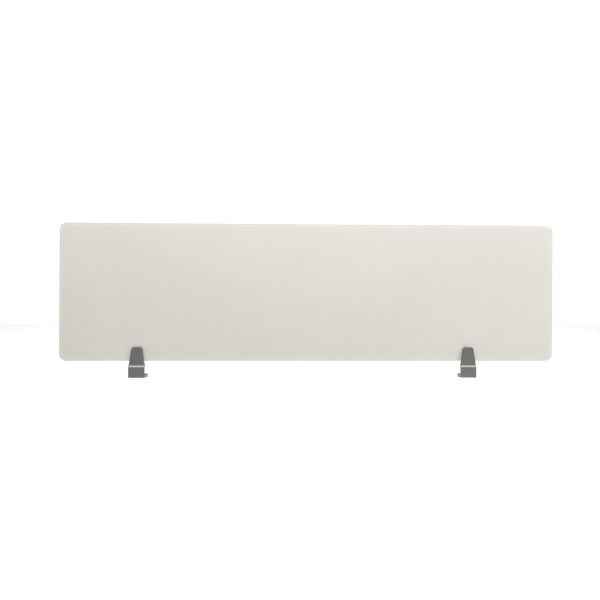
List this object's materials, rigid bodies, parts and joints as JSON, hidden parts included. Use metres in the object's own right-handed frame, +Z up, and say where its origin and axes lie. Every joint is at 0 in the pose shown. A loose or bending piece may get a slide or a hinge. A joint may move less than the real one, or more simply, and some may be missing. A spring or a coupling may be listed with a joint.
{
  "type": "desk privacy panel",
  "caption": "Wide frosted privacy screen with rounded corners, held upright on a desktop's front edge by grey screw clamps.",
  "frame": {"origin": "on the desktop's top front edge, below the middle of the panel", "axes": "+X along the panel to the right as seen from the front, +Y from the front edge onto the desktop, +Z up"},
  "size_m": [1.4732, 0.052, 0.4654],
  "materials": {
    "frosted_acrylic": "frosted translucent acrylic, warm off-white, with brighter polished edges",
    "satin_grey_metal": "satin mid-grey die casting",
    "screw_steel": "zinc-plated steel",
    "black_rubber": "matte black rubber",
    "grey_liner": "matte grey lining strip"
  },
  "bodies": {
    "clamps": {"left_edge_clamp": "satin_grey_metal", "left_desk_pad": "black_rubber", "left_panel_holder": "satin_grey_metal", "left_front_liner": "grey_liner", "left_slot_cushion": "black_rubber", "left_holder_screw_inner": "screw_steel", "left_holder_screw_outer": "screw_steel", "right_edge_clamp": "satin_grey_metal", "right_desk_pad": "black_rubber", "right_panel_holder": "satin_grey_metal", "right_front_liner": "grey_liner", "right_slot_cushion": "black_rubber", "right_holder_screw_inner": "screw_steel", "right_holder_screw_outer": "screw_steel"},
    "panel": {"frosted_panel": "frosted_acrylic"},
    "left_grip": {"left_pressure_plate": "satin_grey_metal", "left_plate_liner": "grey_liner"},
    "left_grip_screw_lower": {"left_grip_screw_lower": "screw_steel"},
    "left_grip_screw_upper": {"left_grip_screw_upper": "screw_steel"},
    "left_jaw_foot_inner": {"left_jaw_foot_inner": "screw_steel", "left_foot_pad_inner": "black_rubber"},
    "left_jaw_screw_inner": {"left_jaw_screw_inner": "screw_steel"},
    "left_jaw_foot_outer": {"left_jaw_foot_outer": "screw_steel", "left_foot_pad_outer": "black_rubber"},
    "left_jaw_screw_outer": {"left_jaw_screw_outer": "screw_steel"},
    "right_grip": {"right_pressure_plate": "satin_grey_metal", "right_plate_liner": "grey_liner"},
    "right_grip_screw_lower": {"right_grip_screw_lower": "screw_steel"},
    "right_grip_screw_upper": {"right_grip_screw_upper": "screw_steel"},
    "right_jaw_foot_inner": {"right_jaw_foot_inner": "screw_steel", "right_foot_pad_inner": "black_rubber"},
    "right_jaw_screw_inner": {"right_jaw_screw_inner": "screw_steel"},
    "right_jaw_foot_outer": {"right_jaw_foot_outer": "screw_steel", "right_foot_pad_outer": "black_rubber"},
    "right_jaw_screw_outer": {"right_jaw_screw_outer": "screw_steel"}
  },
  "joints": [
    {"name": "panel_lift", "type": "slide", "parent": "clamps", "child": "panel", "axis": [0, 0, 1], "range_m": [0, 0.045]},
    {"name": "left_pressure_plate_slide", "type": "slide", "parent": "clamps", "child": "left_grip", "axis": [0, 1, 0], "range_m": [0, 0.003]},
    {"name": "left_grip_screw_lower_turn", "type": "hinge", "parent": "left_grip", "child": "left_grip_screw_lower", "pos_m": [-0.508, 0.022, 0.03], "axis": [0, 1, 0], "range_deg": [0, 1080]},
    {"name": "left_grip_screw_upper_turn", "type": "hinge", "parent": "left_grip", "child": "left_grip_screw_upper", "pos_m": [-0.508, 0.022, 0.047], "axis": [0, 1, 0], "range_deg": [0, 1080]},
    {"name": "left_jaw_foot_inner_rise", "type": "slide", "parent": "clamps", "child": "left_jaw_foot_inner", "axis": [0, 0, 1], "range_m": [0, 0.005]},
    {"name": "left_jaw_screw_inner_turn", "type": "hinge", "parent": "left_jaw_foot_inner", "child": "left_jaw_screw_inner", "pos_m": [-0.4955, 0.036, -0.033], "axis": [0, 0, 1], "range_deg": [0, 1800]},
    {"name": "left_jaw_foot_outer_rise", "type": "slide", "parent": "clamps", "child": "left_jaw_foot_outer", "axis": [0, 0, 1], "range_m": [0, 0.005]},
    {"name": "left_jaw_screw_outer_turn", "type": "hinge", "parent": "left_jaw_foot_outer", "child": "left_jaw_screw_outer", "pos_m": [-0.5205, 0.036, -0.033], "axis": [0, 0, 1], "range_deg": [0, 1800]},
    {"name": "right_pressure_plate_slide", "type": "slide", "parent": "clamps", "child": "right_grip", "axis": [0, 1, 0], "range_m": [0, 0.003]},
    {"name": "right_grip_screw_lower_turn", "type": "hinge", "parent": "right_grip", "child": "right_grip_screw_lower", "pos_m": [0.48, 0.022, 0.03], "axis": [0, 1, 0], "range_deg": [0, 1080]},
    {"name": "right_grip_screw_upper_turn", "type": "hinge", "parent": "right_grip", "child": "right_grip_screw_upper", "pos_m": [0.48, 0.022, 0.047], "axis": [0, 1, 0], "range_deg": [0, 1080]},
    {"name": "right_jaw_foot_inner_rise", "type": "slide", "parent": "clamps", "child": "right_jaw_foot_inner", "axis": [0, 0, 1], "range_m": [0, 0.005]},
    {"name": "right_jaw_screw_inner_turn", "type": "hinge", "parent": "right_jaw_foot_inner", "child": "right_jaw_screw_inner", "pos_m": [0.4675, 0.036, -0.033], "axis": [0, 0, 1], "range_deg": [0, 1800]},
    {"name": "right_jaw_foot_outer_rise", "type": "slide", "parent": "clamps", "child": "right_jaw_foot_outer", "axis": [0, 0, 1], "range_m": [0, 0.005]},
    {"name": "right_jaw_screw_outer_turn", "type": "hinge", "parent": "right_jaw_foot_outer", "child": "right_jaw_screw_outer", "pos_m": [0.4925, 0.036, -0.033], "axis": [0, 0, 1], "range_deg": [0, 1800]}
  ],
  "couplings": [
    {"joint": "left_grip_screw_lower_turn", "follows": "left_pressure_plate_slide", "rad_per_m": 6283},
    {"joint": "left_grip_screw_upper_turn", "follows": "left_pressure_plate_slide", "rad_per_m": 6283},
    {"joint": "left_jaw_screw_inner_turn", "follows": "left_jaw_foot_inner_rise", "rad_per_m": 6283},
    {"joint": "left_jaw_screw_outer_turn", "follows": "left_jaw_foot_outer_rise", "rad_per_m": 6283},
    {"joint": "right_grip_screw_lower_turn", "follows": "right_pressure_plate_slide", "rad_per_m": 6283},
    {"joint": "right_grip_screw_upper_turn", "follows": "right_pressure_plate_slide", "rad_per_m": 6283},
    {"joint": "right_jaw_screw_inner_turn", "follows": "right_jaw_foot_inner_rise", "rad_per_m": 6283},
    {"joint": "right_jaw_screw_outer_turn", "follows": "right_jaw_foot_outer_rise", "rad_per_m": 6283}
  ]
}
